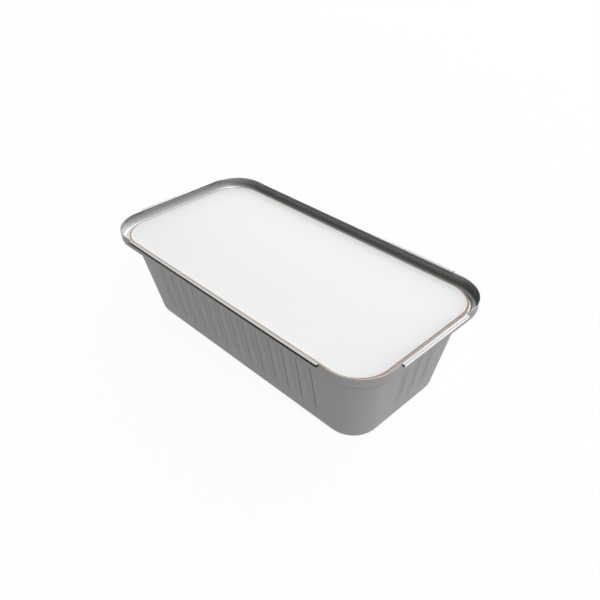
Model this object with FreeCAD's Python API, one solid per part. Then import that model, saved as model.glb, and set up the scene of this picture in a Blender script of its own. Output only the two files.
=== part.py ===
import FreeCAD, Part
import math
import os

# Foil sheet
foil_thickness = 0.3

# Rim, measured outside the upright flange at its top
rim_length = 216.0
rim_width = 109.5
rim_corner_radius = 22.0
flange_height = 6.3
flange_lean_deg = 10.5

# Flat ledge for the lid and the shallow gutter between it and the flange
ledge_height = 57.2
ledge_width = 6.7
gutter_depth = 0.7
gutter_slope_run = 1.0
gutter_floor_width = 0.7
gutter_foot_run = 0.9
gutter_foot_rise = 1.3

# Tub below the ledge, measured outside
tub_corner_radius = 18.0
wall_flare = 9.0
base_fillet_radius = 6.0

# Lip folded outwards along the straight stretches of the rim
lip_width = 2.0
lip_depth = 1.3
lip_fall = 0.3
lip_edge_radius = 0.35
lip_end_gap = 6.0

# Flutes pressed inwards in the walls, deepest at the ledge and fading out downwards
flute_width = 6.2
flute_depth = 0.85
flute_foot = 13.0
long_flute_count = 13
long_flute_pitch = 10.6
short_flute_count = 3
short_flute_pitch = 10.4

# Board lid lying on the ledge
lid_clearance = 0.6
lid_corner_radius = 20.0
lid_thickness = 1.3
lid_bevel_width = 1.0
lid_bevel_drop = 0.4

# Extra length that lets joined or cut bodies overlap
overlap = 1.0

# Sizes that follow from the ones above
rim_height = ledge_height + flange_height
mouth_length = rim_length - 2 * ledge_width
mouth_width = rim_width - 2 * ledge_width
base_length = mouth_length - 2 * wall_flare
base_width = mouth_width - 2 * wall_flare
wall_tilt = math.atan(wall_flare / ledge_height)
wall_inset = foil_thickness / math.cos(wall_tilt)
flange_lean = math.radians(flange_lean_deg)
flange_inside_radius = rim_corner_radius - foil_thickness * math.cos(flange_lean)
gutter_floor = ledge_height - gutter_depth
gutter_foot_height = gutter_floor + gutter_foot_rise
gutter_foot_radius = flange_inside_radius - (rim_height - gutter_foot_height) * math.tan(flange_lean)
floor_outer_radius = gutter_foot_radius - gutter_foot_run
floor_inner_radius = floor_outer_radius - gutter_floor_width
crease_radius = floor_inner_radius - gutter_slope_run
crease_inset = rim_corner_radius - crease_radius
corner_x = rim_length / 2 - rim_corner_radius
corner_y = rim_width / 2 - rim_corner_radius
flute_radius = flute_width ** 2 / (8 * flute_depth) + flute_depth / 2

origin = FreeCAD.Vector(0, 0, 0)
upward = FreeCAD.Vector(0, 0, 1)


def rounded_outline(length, width, radius, height):
    """Closed wire of a rectangle with round corners, level at the given height."""
    x = length / 2 - radius
    y = width / 2 - radius
    centres = [(x, y), (-x, y), (-x, -y), (x, -y)]
    arcs = []
    for turn, (cx, cy) in enumerate(centres):
        centre = FreeCAD.Vector(cx, cy, height)
        circle = Part.Circle(centre, upward, radius)
        start = math.radians(90 * turn)
        arcs.append(Part.ArcOfCircle(circle, start, start + math.pi / 2))
    edges = []
    for turn, arc in enumerate(arcs):
        following = arcs[(turn + 1) % len(arcs)]
        edges.append(arc.toShape())
        edges.append(Part.makeLine(arc.EndPoint, following.StartPoint))
    return Part.Wire(edges)


def tub_section(height, inset):
    """Outline of the tub at one height, moved inwards by the inset."""
    spread = 2 * wall_flare * height / ledge_height - 2 * inset
    return rounded_outline(base_length + spread, base_width + spread, tub_corner_radius - inset, height)


def tub_body(bottom, top, inset, fillet_radius):
    """Solid of the flared tub with flat walls, slanted round corners and a round bottom edge."""
    lower = tub_section(bottom, inset)
    upper = tub_section(top, inset)
    faces = [Part.Face(upper), Part.Face(lower)]
    for low, high in zip(lower.Edges, upper.Edges):
        slant = high.firstVertex().Point - low.firstVertex().Point
        if low.Curve.TypeId == "Part::GeomCircle":
            faces.append(low.extrude(slant))
        else:
            ends = [low.firstVertex().Point, low.lastVertex().Point]
            tops = [high.lastVertex().Point, high.firstVertex().Point]
            faces.append(Part.Face(Part.makePolygon(ends + tops + ends[:1])))
    shell = Part.makeShell(faces)
    shell.sewShape()
    body = Part.makeSolid(shell.reversed())
    level = [edge for edge in body.Edges if edge.BoundBox.ZMax - bottom < foil_thickness / 2]
    return body.makeFillet(fillet_radius, level)


def flute_axis_point(height, along, half_span):
    """Point on the axis of a flute, which leans towards the wall that faces -Y on its way up."""
    wall = half_span + wall_flare * height / ledge_height
    depth = flute_depth * (height - flute_foot) / (ledge_height - flute_foot)
    return FreeCAD.Vector(along, (depth - flute_radius) / math.cos(wall_tilt) - wall, height)


def flute_row(radius, count, pitch, half_span):
    """Round bars that press the flutes of the wall that faces -Y."""
    row = []
    for number in range(count):
        along = (number - (count - 1) / 2) * pitch
        foot = flute_axis_point(flute_foot - overlap, along, half_span)
        axis = flute_axis_point(ledge_height + 2 * overlap, along, half_span) - foot
        row.append(Part.makeCylinder(radius, axis.Length, foot, axis))
    return row


def all_flutes(radius):
    """Bars for the four walls; each row comes back on the opposite wall."""
    front = flute_row(radius, long_flute_count, long_flute_pitch, base_width / 2)
    side = flute_row(radius, short_flute_count, short_flute_pitch, base_length / 2)
    for bar in side:
        bar.rotate(origin, upward, 90)
    front += side
    back = [bar.copy() for bar in front]
    for bar in back:
        bar.rotate(origin, upward, 180)
    return front + back


def section_point(out, height):
    """Point in the plane of the rim section, out from the corner axis."""
    return FreeCAD.Vector(out, 0, height)


def offset_path(points, distance):
    """Path moved to its right-hand side, with mitred corners."""
    normals = []
    for start, end in zip(points, points[1:]):
        step = end - start
        normals.append(FreeCAD.Vector(step.z, 0, -step.x).normalize())
    moved = [points[0] + normals[0] * distance]
    for point, before, after in zip(points[1:], normals, normals[1:]):
        mitre = before + after
        moved.append(point + mitre * (2 * distance / mitre.dot(mitre)))
    moved.append(points[-1] + normals[-1] * distance)
    return moved


def rim_section():
    """Section of ledge edge, gutter and upright flange."""
    upper = [
        section_point(crease_radius - overlap, ledge_height),
        section_point(crease_radius, ledge_height),
        section_point(floor_inner_radius, gutter_floor),
        section_point(floor_outer_radius, gutter_floor),
        section_point(gutter_foot_radius, gutter_foot_height),
        section_point(flange_inside_radius, rim_height),
    ]
    lower = offset_path(upper, foil_thickness)
    outline = upper + lower[::-1] + upper[:1]
    return Part.Face(Part.makePolygon(outline))


def lip_section():
    """Section of the folded lip, joined to the outside of the flange."""
    outside = rim_corner_radius + lip_width
    slope = math.atan(lip_fall / (outside - flange_inside_radius))
    inner_top = section_point(flange_inside_radius, rim_height)
    edge_height = rim_height - lip_fall
    back = lip_edge_radius * math.cos(slope)
    round_start = section_point(outside - back, edge_height + lip_edge_radius * math.sin(slope))
    round_end = section_point(outside, edge_height - lip_edge_radius)
    cut_in = lip_edge_radius * (1 - math.sin(math.pi / 4))
    round_middle = section_point(outside - cut_in, edge_height - cut_in)
    lower_out = section_point(outside, rim_height - lip_depth)
    root = flange_inside_radius + foil_thickness / 2 - lip_depth * math.tan(flange_lean)
    lower_in = section_point(root, rim_height - lip_depth)
    edges = [
        Part.makeLine(inner_top, round_start),
        Part.Arc(round_start, round_middle, round_end).toShape(),
        Part.makeLine(round_end, lower_out),
        Part.makeLine(lower_out, lower_in),
        Part.makeLine(lower_in, inner_top),
    ]
    return Part.Face(Part.Wire(edges))


def rim_parts():
    """Flange bends, flange runs and lips round the four sides."""
    section = rim_section()
    lip = lip_section()
    corners = [(corner_x, corner_y), (-corner_x, corner_y), (-corner_x, -corner_y), (corner_x, -corner_y)]
    parts = []
    for turn, (x, y) in enumerate(corners):
        run = 2 * corner_y if turn % 2 == 0 else 2 * corner_x
        fold = lip.extrude(FreeCAD.Vector(0, 2 * lip_end_gap - run, 0))
        fold.translate(FreeCAD.Vector(0, -lip_end_gap, 0))
        side = [section.revolve(origin, upward, 90), section.extrude(FreeCAD.Vector(0, -run, 0)), fold]
        for body in side:
            body.rotate(origin, upward, 90 * turn)
            body.translate(FreeCAD.Vector(x, y, 0))
        parts += side
    return parts


def ledge_plate():
    """Flat sheet at ledge level, reaching under the inner edge of the rim section."""
    inset = crease_inset + overlap / 2
    radius = rim_corner_radius - inset
    under = ledge_height - foil_thickness
    outline = rounded_outline(rim_length - 2 * inset, rim_width - 2 * inset, radius, under)
    return Part.Face(outline).extrude(FreeCAD.Vector(0, 0, foil_thickness))


def make_tray():
    """Tray pressed from one sheet: fluted tub, ledge, gutter, flange and lips."""
    outside = tub_body(0, ledge_height, 0, base_fillet_radius)
    outside = outside.cut(all_flutes(flute_radius))
    inside = tub_body(foil_thickness, ledge_height + overlap, wall_inset, base_fillet_radius - foil_thickness)
    inside = inside.cut(all_flutes(flute_radius + foil_thickness))
    body = outside.fuse([ledge_plate()] + rim_parts())
    return body.cut(inside).removeSplitter()


def make_lid():
    """Flat board with a bevelled upper edge, resting on the ledge."""
    inset = crease_inset + lid_clearance
    length = rim_length - 2 * inset
    width = rim_width - 2 * inset
    shoulder = ledge_height + lid_thickness - lid_bevel_drop
    top = ledge_height + lid_thickness
    lower = rounded_outline(length, width, lid_corner_radius, ledge_height)
    edge = rounded_outline(length, width, lid_corner_radius, shoulder)
    face_length = length - 2 * lid_bevel_width
    face_width = width - 2 * lid_bevel_width
    face = rounded_outline(face_length, face_width, lid_corner_radius - lid_bevel_width, top)
    board = Part.Face(lower).extrude(FreeCAD.Vector(0, 0, shoulder - ledge_height))
    bevel = Part.makeLoft([edge, face], True, True)
    return board.fuse(bevel).removeSplitter()


def single_solid(shape):
    """The one solid held by a joined shape."""
    return shape.Solids[0] if len(shape.Solids) == 1 else shape


os.makedirs("parts", exist_ok=True)
for node, shape in (("foil_tray", make_tray()), ("board_lid", make_lid())):
    piece = single_solid(shape)
    box = piece.BoundBox
    print(node, len(piece.Solids), piece.isValid(), round(piece.Volume, 1))
    print([round(value, 3) for value in (box.XMin, box.YMin, box.ZMin, box.XMax, box.YMax, box.ZMax)])
    piece.exportStep("parts/" + node + ".step")
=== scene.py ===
import bpy
import bmesh
import math
from mathutils import Matrix, Vector


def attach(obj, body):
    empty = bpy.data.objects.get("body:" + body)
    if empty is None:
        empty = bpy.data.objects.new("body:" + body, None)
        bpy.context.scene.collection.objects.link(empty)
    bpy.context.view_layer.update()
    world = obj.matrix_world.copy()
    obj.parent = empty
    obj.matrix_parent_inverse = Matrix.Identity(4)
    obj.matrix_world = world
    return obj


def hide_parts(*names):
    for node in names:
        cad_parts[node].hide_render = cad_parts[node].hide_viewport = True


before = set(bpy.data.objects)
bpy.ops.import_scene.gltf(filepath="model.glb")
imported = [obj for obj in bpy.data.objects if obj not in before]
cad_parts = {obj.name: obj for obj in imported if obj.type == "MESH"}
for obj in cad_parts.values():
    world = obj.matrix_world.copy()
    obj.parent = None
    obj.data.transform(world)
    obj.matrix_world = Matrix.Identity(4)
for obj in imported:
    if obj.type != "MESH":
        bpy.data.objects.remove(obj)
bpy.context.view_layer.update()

mm = 0.001
print("frame loaded")


class Wire:                                    # a socket that can stand in a sum
    def __init__(self, net, socket):
        self.net, self.socket = net, socket

    def __add__(self, other):
        return self.net.math("ADD", self, other)

    def __radd__(self, other):
        return self.net.math("ADD", other, self)

    def __sub__(self, other):
        return self.net.math("SUBTRACT", self, other)

    def __rsub__(self, other):
        return self.net.math("SUBTRACT", other, self)

    def __mul__(self, other):
        return self.net.math("MULTIPLY", self, other)

    def __rmul__(self, other):
        return self.net.math("MULTIPLY", other, self)

    def __truediv__(self, other):
        return self.net.math("DIVIDE", self, other)

    def __rtruediv__(self, other):
        return self.net.math("DIVIDE", other, self)


class NodeNet:                                 # one node tree, shader or geometry
    def __init__(self, tree):
        self.tree = tree

    def add(self, kind, settings=None, values=None):
        node = self.tree.nodes.new(kind)
        for name, value in (settings or {}).items():
            setattr(node, name, value)
        for key, value in (values or {}).items():
            self.plug(node.inputs[key], value)
        return node

    def plug(self, socket, value):
        if isinstance(value, Wire):
            self.tree.links.new(value.socket, socket)
        else:
            socket.default_value = value

    def out(self, node, name=0):
        return Wire(self, node.outputs[name])

    def math(self, operation, *values):
        node = self.add("ShaderNodeMath", {"operation": operation}, dict(enumerate(values)))
        return self.out(node)

    def mark(self, name):                      # an attribute that the mesh carries
        return self.out(self.add("ShaderNodeAttribute", {"attribute_name": name}), "Fac")

    def noise(self, place, scale, detail):
        values = {"Vector": place, "Scale": scale, "Detail": detail}
        return self.out(self.add("ShaderNodeTexNoise", None, values))


def newMaterial(name):
    material = bpy.data.materials.new(name)
    material.use_nodes = True
    net = NodeNet(material.node_tree)
    material.node_tree.nodes.clear()
    return material, net


def paint(red, green, blue):
    return (red, green, blue, 1.0)


# Shapes shared by tray and lid

def sideTurn(side):                            # from the +X side to one of the four sides
    return Matrix.Rotation(math.pi / 2 * side, 3, "Z")


def ringPoints(centreX, centreY, radius, height, columns, cornerSteps):
    points = []                                # counter-clockwise, from the +X side's lower end
    for side in range(4):
        outward, along = (centreX, centreY) if side % 2 == 0 else (centreY, centreX)
        flat = [-along] + columns[side % 2] + [along]
        local = [(outward + radius, a) for a in flat]
        for step in range(1, cornerSteps):
            angle = math.pi / 2 * step / cornerSteps
            local.append((outward + radius * math.cos(angle), along + radius * math.sin(angle)))
        turn = sideTurn(side)
        points += [turn @ Vector((o * mm, a * mm, height * mm)) for o, a in local]
    return points


def skinRings(bm, rings):
    rows = [[bm.verts.new(p) for p in ring] for ring in rings]
    count = len(rows[0])
    for lower, upper in zip(rows, rows[1:]):
        for i in range(count):
            j = (i + 1) % count
            bm.faces.new((lower[i], lower[j], upper[j], upper[i]))
    return rows


def closeEnds(bm, rows):                       # first row faces down, last row faces up
    bm.faces.new(list(reversed(rows[0])))
    bm.faces.new(rows[-1])


def finishMesh(bm, name):
    mesh = bpy.data.meshes.new(name)
    bm.to_mesh(mesh)
    bm.free()
    return mesh


def meshObject(name, mesh, *materials):
    piece = bpy.data.objects.new(name, mesh)
    bpy.context.collection.objects.link(piece)
    for material in materials:
        piece.data.materials.append(material)
    return piece


def smooth(piece, sharpAngle):
    piece.data.shade_smooth()
    piece.data.set_sharp_from_angle(angle=math.radians(sharpAngle))


# Tray, with all lengths in mm

tray = {
    "sheet": 0.3, "rimLength": 216.0, "rimWidth": 109.5, "rimCorner": 22.0, "rimHeight": 63.5,
    "ledgeHeight": 57.2, "ledgeWidth": 6.7, "shoulderFillet": 1.0,
    "mouthCorner": 18.6, "baseCorner": 17.4, "flare": 9.5, "baseFillet": 6.8,
    "cornerSteps": 36, "wallRows": 30, "filletSteps": 7, "shoulderSteps": 4, "sharpAngle": 38,
}
longFlutes = {
    "pitch": 10.6, "last": 6, "width": 6.2, "depth": 0.65,
    "foot": 12.5, "full": 34.0, "soft": 0.07, "wallEnd": 74.0,
    # painted shade lines along the flute edges
    "lines": ({"place": 1.95, "climb": 0.0, "half": 0.45, "soft": 0.5, "share": 1.0},),
    "lineMiddle": 60.0, "lineReach": 39.0, "lineFade": 11.0,
}
shortFlutes = {
    "pitch": 10.4, "last": 1, "width": 6.2, "depth": 0.7,
    "foot": 12.5, "full": 34.0, "soft": 0.07, "wallEnd": 21.0,
    # painted shade lines along the flute edges
    "lines": ({"place": 3.95, "climb": 0.04, "half": 0.5, "soft": 0.8, "share": 0.42},
              {"place": -1.7, "climb": 0.0, "half": 0.3, "soft": 0.6, "share": 0.22}),
    "lineMiddle": 30.0, "lineReach": 7.0, "lineFade": 14.0,
}
fluteGrid = {                                  # the mesh's columns stand closer at a flute's two edges
    "outside": (1.1, 0.45, 0.12), "inside": (0.18, 0.7), "bedShares": (0.55, 0.28),
    "firstGap": 1.2, "plainGap": 4.0,
}

cornerX = tray["rimLength"] / 2 - tray["rimCorner"]
cornerY = tray["rimWidth"] / 2 - tray["rimCorner"]
tilt = math.atan(tray["flare"] / tray["ledgeHeight"])


def fluteColumns(flutes):                      # where the mesh's columns stand along one wall
    half = flutes["width"] / 2
    steps = [-half - away for away in fluteGrid["outside"]]
    steps += [-half + away for away in fluteGrid["inside"]]
    steps += [-half * share for share in fluteGrid["bedShares"]]
    steps += [0.0] + [-step for step in reversed(steps)]
    places = []
    for number in range(-flutes["last"], flutes["last"] + 1):
        places += [number * flutes["pitch"] + step for step in steps]
        if number < flutes["last"]:
            places.append((number + 0.5) * flutes["pitch"])
    edge = places[-1] + fluteGrid["firstGap"]
    while edge < flutes["wallEnd"]:
        places = [-edge] + places + [edge]
        edge += fluteGrid["plainGap"]
    return places


wallColumns = [fluteColumns(shortFlutes), fluteColumns(longFlutes)]


def tubRing(height, inset):                    # corner centre and radius of the tub at one height
    share = height / tray["ledgeHeight"]
    radius = tray["baseCorner"] + (tray["mouthCorner"] - tray["baseCorner"]) * share - inset
    halfX = tray["rimLength"] / 2 - tray["ledgeWidth"] - tray["flare"] * (1 - share) - inset
    halfY = tray["rimWidth"] / 2 - tray["ledgeWidth"] - tray["flare"] * (1 - share) - inset
    return halfX - radius, halfY - radius, radius, height


def arcRings(middle, radius, start, end, steps):
    centreX, centreY, centreR, centreZ = middle
    rings = []
    for step in range(steps + 1):
        angle = math.radians(start + (end - start) * step / steps)
        out = centreR + radius * math.cos(angle)
        rings.append((centreX, centreY, out, centreZ + radius * math.sin(angle)))
    return rings


rim = {                                        # radii are those of the rim's round corners
    "seatEdge": 17.75, "seatMitre": 0.3,       # where the ledge ends, and the mitre of its bend
    "gutterStart": 18.5, "gutterDepth": 1.3,
    "lowPull": (0.5, -0.3),                    # bends the gutter: from the flange's top and the floor
    "highPull": (-0.45, 2.0),                  # straightens the flange: from the same two
    "steps": 18, "end": 0.985, "lean": 10.5,   # the lean is that of the lip's root, in degrees
    "footHeight": 0.3, "footShade": 0.35,      # painted shade along the flange's foot outside
}
gutterFloor = tray["ledgeHeight"] - rim["gutterDepth"]
lean = math.radians(rim["lean"])


def rimRings(grow):                            # ledge's edge, shallow gutter and the flange curving up
    top = tray["rimCorner"] - tray["sheet"]
    bends = [
        (rim["gutterStart"], gutterFloor),
        (top + rim["lowPull"][0], gutterFloor + rim["lowPull"][1]),
        (top + rim["highPull"][0], gutterFloor + rim["highPull"][1]),
        (top, tray["rimHeight"]),
    ]
    back = tray["sheet"] - grow
    rings = [(cornerX, cornerY, rim["seatEdge"] - back * rim["seatMitre"], tray["ledgeHeight"] - back)]
    for step in range(rim["steps"] + 1):
        t = step / rim["steps"] * rim["end"]
        share = ((1 - t) ** 3, 3 * t * (1 - t) ** 2, 3 * t * t * (1 - t), t ** 3)
        rate = (-(1 - t) ** 2, (1 - t) ** 2 - 2 * t * (1 - t), 2 * t * (1 - t) - t * t, t * t)
        out, z = (sum(k * bend[axis] for k, bend in zip(share, bends)) for axis in (0, 1))
        goOut, goUp = (sum(k * bend[axis] for k, bend in zip(rate, bends)) for axis in (0, 1))
        size = math.hypot(goOut, goUp)
        rings.append((cornerX, cornerY, out + back * goUp / size, z - back * goOut / size))
    return rings


def sideRings(grow):                           # one face of the sheet, from base to flange top
    tiltDeg = math.degrees(tilt)
    baseMiddle = tubRing(tray["baseFillet"], tray["baseFillet"] / math.cos(tilt))
    base = arcRings(baseMiddle, tray["baseFillet"] - grow, -90, -tiltDeg, tray["filletSteps"])
    fillet = tray["shoulderFillet"]
    mouthMiddle = tubRing(tray["ledgeHeight"] - tray["sheet"] - fillet, -fillet / math.cos(tilt))
    shoulder = arcRings(mouthMiddle, fillet + grow, 180 - tiltDeg, 90, tray["shoulderSteps"])
    lowZ = base[-1][3]
    highZ = shoulder[0][3]
    wall = []
    for row in range(1, tray["wallRows"]):
        z = lowZ + (highZ - lowZ) * row / tray["wallRows"]
        wall.append(tubRing(z, grow / math.cos(tilt)))
    return {"base": base, "wall": wall, "shoulder": shoulder, "rim": rimRings(grow)}


def line(across, place, half, soft):           # 1 on a line, 0 beside it
    return max(0.0, min(1.0, 1.0 - (abs(across - place) - half) / soft))


def paintedFluteShade(across, height, flutes):       # painted shade: dark lines along each flute's edges
    shade = 0.0
    for mark in flutes["lines"]:
        place = mark["place"] + (height - flutes["lineMiddle"]) * mark["climb"]
        shade += line(across, place, mark["half"], mark["soft"]) * mark["share"]
    return shade * line(height, flutes["lineMiddle"], flutes["lineReach"], flutes["lineFade"])


def ringAngles():                              # which way each point of a ring faces
    angles = []
    steps = tray["cornerSteps"]
    for side in range(4):
        angles += [math.pi / 2 * side] * (len(wallColumns[side % 2]) + 2)
        angles += [math.pi / 2 * (side + step / steps) for step in range(1, steps)]
    return angles


rimPaintedLight = {                                    # painted brightness and shade inside the rim, by the way that a point faces
    "darkWay": 75.0, "darkHalf": 20.0, "darkFade": 55.0,   # degrees from +X
    "ledgeBand": 0.1, "ledgeLeast": 0.1, "gutter": 0.85, "darkGutter": 0.05,
    "reach": 3.6, "reachSwing": 2.2, "reachWay": 45.0,     # mm up the flange, least at this way
    "endShade": 0.2, "endNarrow": 8,                       # painted shade on the flange at the -X end
    "cornerShade": 0.34, "cornerWay": 0.6, "cornerNarrow": 6,      # painted shade at one corner, its way in radians from +X
}


def paintedLightShare(height, angle):                 # painted light: bright on ledge and gutter floor, fading up the flange; painted shade at the -X end and one corner
    turn = abs(math.degrees(angle) - rimPaintedLight["darkWay"])
    turn = min(turn, 360.0 - turn)
    bright = max(0.0, min(1.0, (turn - rimPaintedLight["darkHalf"]) / rimPaintedLight["darkFade"]))
    if abs(height - tray["ledgeHeight"]) < rimPaintedLight["ledgeBand"]:
        return rimPaintedLight["ledgeLeast"] + (1 - rimPaintedLight["ledgeLeast"]) * bright
    reach = rimPaintedLight["reach"] - rimPaintedLight["reachSwing"] * math.cos(angle - math.radians(rimPaintedLight["reachWay"]))
    endShade = rimPaintedLight["endShade"] * max(0.0, -math.cos(angle)) ** rimPaintedLight["endNarrow"]
    corner = max(0.0, math.cos(angle - rimPaintedLight["cornerWay"])) ** rimPaintedLight["cornerNarrow"]
    rise = 1.0 - (height - gutterFloor) / reach
    level = rimPaintedLight["gutter"] * bright * rise - rimPaintedLight["darkGutter"] * (1.0 - bright)
    return max(-(endShade + rimPaintedLight["cornerShade"] * corner), level)


faceMark = {"outside": 0.0, "crown": 0.5, "inside": 1.0, "lip": 2.0}   # values of the attribute inside


def meshLayers(bm):
    # these carry painted light and shade: the level, the shade lines along the flutes and the dark lip faces
    names = ("along", "high", "longWall", "shortWall", "inside", "level", "groove")
    layers = {name: bm.verts.layers.float.new(name) for name in names}
    layers["inward"] = bm.verts.layers.float_vector.new("inward")
    layers["fold"] = bm.faces.layers.float.new("fold")
    return layers


def markWall(row, height, isOutside, layers):  # tells the flutes where each point of the walls is, and paints shade lines along the flutes outside
    at = 1
    for side in range(4):
        flutes, wall = (longFlutes, "longWall") if side % 2 else (shortFlutes, "shortWall")
        inward = sideTurn(side) @ Vector((-math.cos(tilt), 0, math.sin(tilt)))
        places = wallColumns[side % 2]
        for place, vert in zip(places, row[at:]):
            vert[layers["along"]] = place * mm
            vert[layers["high"]] = height * mm
            vert[layers[wall]] = 1.0
            vert[layers["inward"]] = inward
            if isOutside:
                number = max(-flutes["last"], min(flutes["last"], round(place / flutes["pitch"])))
                # painted shade lines along the flutes, outside only
                vert[layers["groove"]] = paintedFluteShade(place - number * flutes["pitch"], height, flutes)
        at += len(places) + 1 + tray["cornerSteps"]


def markRing(row, name, height, inside, layers):
    isOutside = inside == faceMark["outside"]
    getsPaintedLight = inside == faceMark["inside"] and name in ("shoulder", "rim")
    isFoot = isOutside and name == "rim" and height < tray["ledgeHeight"] + rim["footHeight"]
    if name == "wall":
        markWall(row, height, isOutside, layers)
    for vert, angle in zip(row, ringAngles()):
        vert[layers["inside"]] = inside
        # painted light and shade inside the rim; the crown ring is painted bright
        vert[layers["level"]] = paintedLightShare(height, angle) if getsPaintedLight else float(name == "crown")
        # painted shade along the flange's foot outside
        if isFoot:
            vert[layers["groove"]] = rim["footShade"]


lip = {
    "width": 1.5, "depth": 1.65, "fall": 0.1, "edge": 0.2, "gap": 6.0,
    "edgeSteps": 5, "edgeTurn": 80, "edgeRise": 0.12, "chamfer": 0.15,
    "darkFaceStart": 3, "endDarkFace": 0.8,            # first strip of the section with a painted dark reflection, and how dark the ends are painted
    "brightEdge": (5, 8), "edgeLevel": 2.0,    # points of a short lip's edge with a painted highlight
}


def lipSection():                              # out from the rim's corner centre, and height
    top = tray["rimHeight"]
    root = tray["rimCorner"] - tray["sheet"] / 2
    out = tray["rimCorner"] + lip["width"]
    edge = lip["edge"]
    low = top - lip["depth"]
    section = [(root, top), (out - edge, top - lip["fall"] + edge * lip["edgeRise"])]
    for step in range(1, lip["edgeSteps"] + 1):
        angle = math.radians(lip["edgeTurn"] - lip["edgeTurn"] * step / lip["edgeSteps"])
        z = top - lip["fall"] - edge + edge * math.sin(angle)
        section.append((out - edge + edge * math.cos(angle), z))
    section += [(out, low + lip["chamfer"]), (out - lip["chamfer"], low)]
    section.append((root - lip["depth"] * math.tan(lean), low))
    return section


def addLip(bm, side, layers):                  # foil folded outwards along one straight side
    isLong = side % 2 == 1
    offset, halfRun = (cornerY, cornerX - lip["gap"]) if isLong else (cornerX, cornerY - lip["gap"])
    section = lipSection()
    turn = sideTurn(side)
    ends = []
    for along in (-halfRun, halfRun):
        points = [turn @ Vector(((offset + o) * mm, along * mm, z * mm)) for o, z in section]
        ends.append([bm.verts.new(point) for point in points])
    count = len(section)
    for i in range(count):
        j = (i + 1) % count
        face = bm.faces.new((ends[0][j], ends[0][i], ends[1][i], ends[1][j]))
        # painted dark reflection on the long lips' outer faces and on every lip's ends
        face[layers["fold"]] = 1.0 if isLong and i >= lip["darkFaceStart"] else 0.0
    bm.faces.new(ends[0])[layers["fold"]] = lip["endDarkFace"]
    bm.faces.new(list(reversed(ends[1])))[layers["fold"]] = lip["endDarkFace"]
    first, last = lip["brightEdge"]
    # a painted highlight on the short lips' edge points
    for end in ends:
        for number, vert in enumerate(end):
            vert[layers["inside"]] = faceMark["lip"]
            vert[layers["level"]] = lip["edgeLevel"] if not isLong and first <= number < last else 1.0


def buildTray():
    bm = bmesh.new()
    layers = meshLayers(bm)
    middleR = tray["rimCorner"] - tray["sheet"] / 2 / math.cos(lean)
    crown = (cornerX, cornerY, middleR, tray["rimHeight"])
    outer, inner = sideRings(0), sideRings(tray["sheet"])
    strips = [(ring, name, faceMark["outside"]) for name in outer for ring in outer[name]]
    strips.append((crown, "crown", faceMark["crown"]))
    strips += [(ring, name, faceMark["inside"]) for name in reversed(inner) for ring in reversed(inner[name])]
    rows = skinRings(bm, [ringPoints(*ring, wallColumns, tray["cornerSteps"]) for ring, _, _ in strips])
    for row, (ring, name, inside) in zip(rows, strips):
        markRing(row, name, ring[3], inside, layers)
    closeEnds(bm, rows)                        # underside of the base, floor inside
    for side in range(4):
        addLip(bm, side, layers)
    return finishMesh(bm, "foilTray")


fluteLengths = ("Pitch", "Width", "Depth", "Foot", "Full", "Soft")


def fluteTree(material):
    tree = bpy.data.node_groups.new("pressFlutes", "GeometryNodeTree")
    face = tree.interface
    face.new_socket("Geometry", in_out="OUTPUT", socket_type="NodeSocketGeometry")
    face.new_socket("Geometry", in_out="INPUT", socket_type="NodeSocketGeometry")
    face.new_socket("Wall", in_out="INPUT", socket_type="NodeSocketString")
    for name in ("Last",) + fluteLengths:
        face.new_socket(name, in_out="INPUT", socket_type="NodeSocketFloat")
    net = NodeNet(tree)
    given = net.add("NodeGroupInput")
    last = net.out(given, "Last")
    pitch, width, depth, foot, full, soft = (net.out(given, name) for name in fluteLengths)

    def read(name, kind="FLOAT"):
        return net.out(net.add("GeometryNodeInputNamedAttribute", {"data_type": kind}, {"Name": name}))

    along, high, wall = read("along"), read("high"), read(net.out(given, "Wall"))
    number = net.math("MAXIMUM", net.math("MINIMUM", net.math("ROUND", along / pitch), last), 0 - last)
    across = along - number * pitch
    radius = width * width / (8 * depth) + depth / 2
    short = net.math("MAXIMUM", full - high, 0.0) / (full - foot)
    level = depth * (1 - short * short)        # full depth up to the ledge, fading out downwards
    arc = net.math("SQRT", net.math("MAXIMUM", radius * radius - across * across, 0.0))
    press = net.math("SMOOTH_MAX", arc - radius + level, 0.0, soft) * wall
    inward = read("inward", "FLOAT_VECTOR")
    move = net.add("ShaderNodeVectorMath", {"operation": "SCALE"}, {0: inward, "Scale": press})
    shifted = net.add("GeometryNodeSetPosition", None, {"Geometry": net.out(given), "Offset": net.out(move)})
    real = net.add("GeometryNodeRealizeInstances", None, {"Geometry": net.out(shifted)})
    finish = net.add("GeometryNodeSetMaterial", None, {"Geometry": net.out(real), "Material": material})
    net.add("NodeGroupOutput", None, {"Geometry": net.out(finish)})
    return tree


def pressFlutes(piece, tree, wall, flutes):
    modifier = piece.modifiers.new("flutes" + wall, "NODES")
    modifier.node_group = tree
    values = {"Wall": wall, "Last": float(flutes["last"])}
    values.update({name: flutes[name.lower()] * mm for name in fluteLengths})
    for item in tree.interface.items_tree:
        if item.in_out == "INPUT" and item.name in values:
            modifier[item.identifier] = values[item.name]


# holds the bright tone of painted light, how far the painted shade lines darken, and the near-black of the
# painted dark reflection on the lips
foilLook = {
    "outer": 0.255, "inner": 0.25, "ledge": 0.8, "lip": 0.36, "fold": 0.012, "groove": 0.7,
    "outerMetal": 0.5, "innerMetal": 0.5, "ledgeMetal": 0.3, "lipMetal": 1.0,
    "outerRough": 0.45, "innerRough": 0.35, "ledgeRough": 0.3, "darkFaceRough": 0.7, "darkFaceSpecular": 0.1,
    "rolledStretch": (60.0, 900.0, 900.0), "rolledScale": 3.0, "rolledDetail": 3.0, "rolledTone": 0.06,
    "cloudScale": 45.0, "cloudDetail": 4.0, "cloudTone": 0.1, "cloudRough": 0.08,
    "bump": 0.2, "bumpDepth": 0.0001, "rolledBump": 0.4,
}


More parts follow.
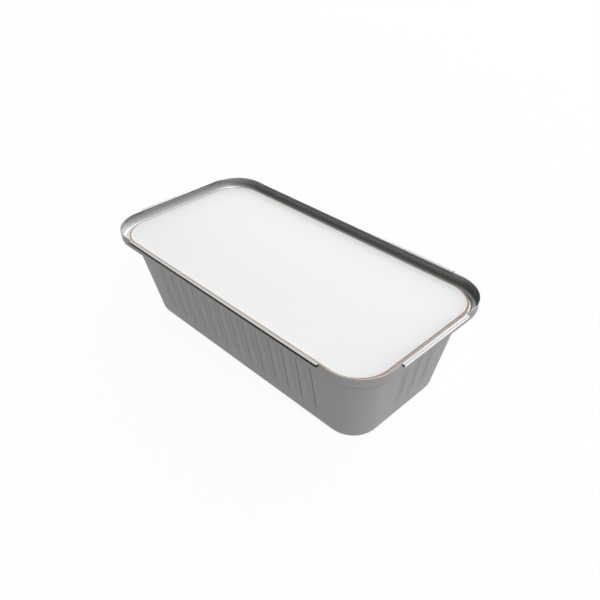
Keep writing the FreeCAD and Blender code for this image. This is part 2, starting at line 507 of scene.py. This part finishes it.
def foilMaterial():
    material, net = newMaterial("pressedFoil")
    look = foilLook
    place = net.out(net.add("ShaderNodeTexCoord"), "Object")
    inside, level, groove, fold = (net.mark(name) for name in ("inside", "level", "groove", "fold"))
    stretch = net.add("ShaderNodeMapping", None, {"Vector": place, "Scale": look["rolledStretch"]})
    rolled = net.noise(net.out(stretch), look["rolledScale"], look["rolledDetail"])
    cloud = net.noise(place, look["cloudScale"], look["cloudDetail"])
    isInside = net.math("GREATER_THAN", inside, faceMark["crown"] / 2)
    isLip = net.math("GREATER_THAN", inside, (faceMark["inside"] + faceMark["lip"]) / 2)

    def blend(outer, inner, ledge):            # by the face of the sheet, then towards the painted-bright tone by the painted light and shade of the level attribute
        return outer + isInside * (inner - outer) + level * (ledge - inner)

    rough = blend(look["outerRough"], look["innerRough"], look["ledgeRough"])
    rough = rough + (cloud - 0.5) * look["cloudRough"]
    metal = blend(look["outerMetal"], look["innerMetal"], look["ledgeMetal"])
    metal = metal + isLip * (look["lipMetal"] - look["ledgeMetal"])
    # painted light and shade inside the rim, on the crown and on the short lips' edges
    tone = blend(look["outer"], look["inner"], look["ledge"]) + isLip * (look["lip"] - look["ledge"])
    tone = tone * (1 + (cloud - 0.5) * look["cloudTone"] + (rolled - 0.5) * look["rolledTone"])
    # painted shade lines along the flutes and the flange's foot
    tone = tone * (1 - groove * look["groove"])
    colour = net.add("ShaderNodeCombineColor", None, {"Red": tone, "Green": tone, "Blue": tone})
    height = rolled * look["rolledBump"] + cloud
    bump = net.add("ShaderNodeBump", None, {
        "Strength": look["bump"], "Distance": look["bumpDepth"], "Height": height})
    shader = net.add("ShaderNodeBsdfPrincipled", None, {
        "Base Color": net.out(colour), "Metallic": metal, "Roughness": rough, "Normal": net.out(bump)})
    # near-black shader for the painted dark reflection on the lips' faces
    darkFaceShader = net.add("ShaderNodeBsdfPrincipled", None, {
        "Base Color": paint(look["fold"], look["fold"], look["fold"]), "Roughness": look["darkFaceRough"],
        "Specular IOR Level": look["darkFaceSpecular"]})
    both = net.add("ShaderNodeMixShader", None, {0: fold, 1: net.out(shader), 2: net.out(darkFaceShader)})
    net.add("ShaderNodeOutputMaterial", None, {"Surface": net.out(both)})
    return material


def pressedMesh(foil):                         # the blank with its flutes, as a plain mesh
    blank = meshObject("foilTrayBlank", buildTray(), foil)
    tree = fluteTree(foil)
    pressFlutes(blank, tree, "longWall", longFlutes)
    pressFlutes(blank, tree, "shortWall", shortFlutes)
    graph = bpy.context.evaluated_depsgraph_get()
    mesh = bpy.data.meshes.new_from_object(blank.evaluated_get(graph), depsgraph=graph)
    bpy.data.objects.remove(blank)
    return mesh


foilTray = meshObject("foilTray", pressedMesh(foilMaterial()))
smooth(foilTray, tray["sharpAngle"])
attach(foilTray, "root")
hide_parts("foil_tray")
print("tray", len(foilTray.data.polygons))


# Lid, with all lengths in mm

lid = {
    "length": 206.8, "width": 101.2, "corner": 20.0, "thickness": 1.3, "bevel": 0.9, "bevelDrop": 0.03,
    "spread": 0.25, "foot": 0.1, "cornerSteps": 24, "sharpAngle": 20,
    "shortColumns": [-20.0, 0.0, 20.0], "longColumns": [-60.0, -30.0, 0.0, 30.0, 60.0],
}
boardLook = {
    "face": (0.82, 0.82, 0.825), "faceRough": 0.5, "faceSpread": 0.012,
    "edge": (0.43, 0.3, 0.2), "edgeRough": 0.8, "edgeSpread": 0.12,
    "cloudScale": 60.0, "cloudDetail": 5.0, "fibreScale": 1800.0, "fibreDetail": 2.0, "fibreShare": 0.3,
    "bump": 0.15, "bumpDepth": 0.0001,
}


def buildLid():
    centreX = lid["length"] / 2 - lid["corner"]
    centreY = lid["width"] / 2 - lid["corner"]
    low = tray["ledgeHeight"]
    top = low + lid["thickness"]
    wide = lid["corner"] + lid["spread"]
    section = [(wide - lid["foot"], low), (wide, low + lid["foot"])]
    section += [(lid["corner"], top - lid["bevelDrop"]), (lid["corner"] - lid["bevel"], top)]
    columns = [lid["shortColumns"], lid["longColumns"]]
    bm = bmesh.new()
    rings = [ringPoints(centreX, centreY, r, z, columns, lid["cornerSteps"]) for r, z in section]
    rows = skinRings(bm, rings)
    brownRing = {vert for row in rows[-2:] for vert in row}
    for face in bm.faces:
        face.material_index = 1 if all(vert in brownRing for vert in face.verts) else 0
    closeEnds(bm, rows)
    return finishMesh(bm, "boardLid")


def boardMaterial(name, part):
    material, net = newMaterial(name)
    colour, spread = boardLook[part], boardLook[part + "Spread"]
    dark = [channel * (1 - spread) for channel in colour]
    light = [min(channel * (1 + spread), 1.0) for channel in colour]
    place = net.out(net.add("ShaderNodeTexCoord"), "Object")
    cloud = net.noise(place, boardLook["cloudScale"], boardLook["cloudDetail"])
    fibre = net.noise(place, boardLook["fibreScale"], boardLook["fibreDetail"])
    share = cloud * (1 - boardLook["fibreShare"]) + fibre * boardLook["fibreShare"]
    tint = net.add("ShaderNodeMix", {"data_type": "RGBA"}, {
        "Factor": share, 6: paint(*dark), 7: paint(*light)})
    bump = net.add("ShaderNodeBump", None, {
        "Strength": boardLook["bump"], "Distance": boardLook["bumpDepth"], "Height": fibre})
    shader = net.add("ShaderNodeBsdfPrincipled", None, {
        "Base Color": net.out(tint, 2), "Roughness": boardLook[part + "Rough"], "Normal": net.out(bump)})
    net.add("ShaderNodeOutputMaterial", None, {"Surface": net.out(shader)})
    return material


boardFace = boardMaterial("whiteBoardFace", "face")
boardEdge = boardMaterial("brownBoardEdge", "edge")
boardLid = meshObject("boardLid", buildLid(), boardFace, boardEdge)
smooth(boardLid, lid["sharpAngle"])
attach(boardLid, "root")
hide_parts("board_lid")
print("lid", len(boardLid.data.polygons))


# Floor, light and camera, with all lengths in metres

stage = {"half": 6.0, "floor": 0.95, "glow": 0.94, "aim": (0, 0, 0.03)}
white = paint(1.0, 1.0, 1.0)


def seenRays(net):                             # rays that see the pale background, also by way of metal
    path = net.add("ShaderNodeLightPath")
    seen = net.math("MAXIMUM", net.out(path, "Is Camera Ray"), net.out(path, "Is Glossy Ray"))
    return net.math("MAXIMUM", seen, net.out(path, "Is Transmission Ray"))


def floorMaterial():
    material, net = newMaterial("paleFloor")
    seen = seenRays(net) * stage["glow"]
    pale = paint(stage["floor"], stage["floor"], stage["floor"])
    plain = net.add("ShaderNodeBsdfDiffuse", None, {"Color": pale})
    glow = net.add("ShaderNodeEmission", None, {"Color": white, "Strength": 1.0})
    both = net.add("ShaderNodeMixShader", None, {0: seen, 1: net.out(plain), 2: net.out(glow)})
    net.add("ShaderNodeOutputMaterial", None, {"Surface": net.out(both)})
    return material


def floorMesh():
    bm = bmesh.new()
    half = stage["half"]
    corners = ((-half, -half), (half, -half), (half, half), (-half, half))
    bm.faces.new([bm.verts.new((x, y, 0.0)) for x, y in corners])
    return finishMesh(bm, "floor")


def paleWorld():                               # seen as white, and puts no light on the tray
    world = bpy.data.worlds.new("studio")
    bpy.context.scene.world = world
    world.use_nodes = True
    world.node_tree.nodes.clear()
    net = NodeNet(world.node_tree)
    sky = net.add("ShaderNodeBackground", None, {"Color": white, "Strength": seenRays(net)})
    net.add("ShaderNodeOutputWorld", None, {"Surface": net.out(sky)})


floor = meshObject("floor", floorMesh(), floorMaterial())
paleWorld()

lamps = {                                      # square softboxes, all aimed at the tray
    "rightSoftbox": {"at": (2.255, 0.0, 0.85), "size": 1.4, "power": 25.5},
    "backSoftbox": {"at": (0.0, 2.255, 0.85), "size": 1.4, "power": 24.5},
    "leftBackSoftbox": {"at": (-1.7, 1.58, 0.65), "size": 1.2, "power": 11.5},
    "frontSoftbox": {"at": (1.28, -0.74, 1.92), "size": 1.4, "power": 25.3},
    "highBackSoftbox": {"at": (0.85, 0.95, 2.05), "size": 1.4, "power": 12.0},
    "highLeftSoftbox": {"at": (-1.3, 1.09, 1.73), "size": 2.8, "power": 14.5},
    "highSideSoftbox": {"at": (-0.847, 1.662, 1.54), "size": 0.9, "power": 4.2},
}
for name, lamp in lamps.items():
    light = bpy.data.lights.new(name, "AREA")
    light.shape = "SQUARE"
    light.size = lamp["size"]
    light.energy = lamp["power"]
    holder = bpy.data.objects.new(name, light)
    holder.location = lamp["at"]
    holder.rotation_euler = (Vector(stage["aim"]) - Vector(lamp["at"])).to_track_quat("-Z", "Y").to_euler()
    bpy.context.collection.objects.link(holder)

view = {                                       # angles in degrees, aimPixel and focal in pixels
    "azimuth": 45.77, "pitch": 36.16, "roll": -0.62, "aimPixel": (286.5, 301.34), "distance": 0.39828,
    "focal": 642.06, "image": 600.0, "sensor": 36.0, "near": 0.01,
}


def addCamera():
    azimuth, pitch, roll = (math.radians(view[name]) for name in ("azimuth", "pitch", "roll"))
    level = Vector((math.cos(azimuth), math.sin(azimuth), 0))
    ahead = Vector((-math.sin(azimuth), math.cos(azimuth), 0))
    forward = ahead * math.cos(pitch) - Vector((0, 0, math.sin(pitch)))
    above = level.cross(forward)
    right = level * math.cos(roll) + above * math.sin(roll)
    up = above * math.cos(roll) - level * math.sin(roll)
    aside, below = ((pixel - view["image"] / 2) / view["focal"] for pixel in view["aimPixel"])
    ray = forward + right * aside - up * below
    place = Vector(stage["aim"]) - ray * view["distance"]
    data = bpy.data.cameras.new("camera")
    data.sensor_width = view["sensor"]
    data.lens = view["focal"] / view["image"] * view["sensor"]
    data.clip_start = view["near"]
    camera = bpy.data.objects.new("camera", data)
    turn = Matrix((right, up, -forward)).transposed()
    camera.matrix_world = Matrix.Translation(place) @ turn.to_4x4()
    bpy.context.collection.objects.link(camera)
    bpy.context.scene.camera = camera


addCamera()
bpy.context.scene.view_settings.view_transform = "Standard"
print("stage set")
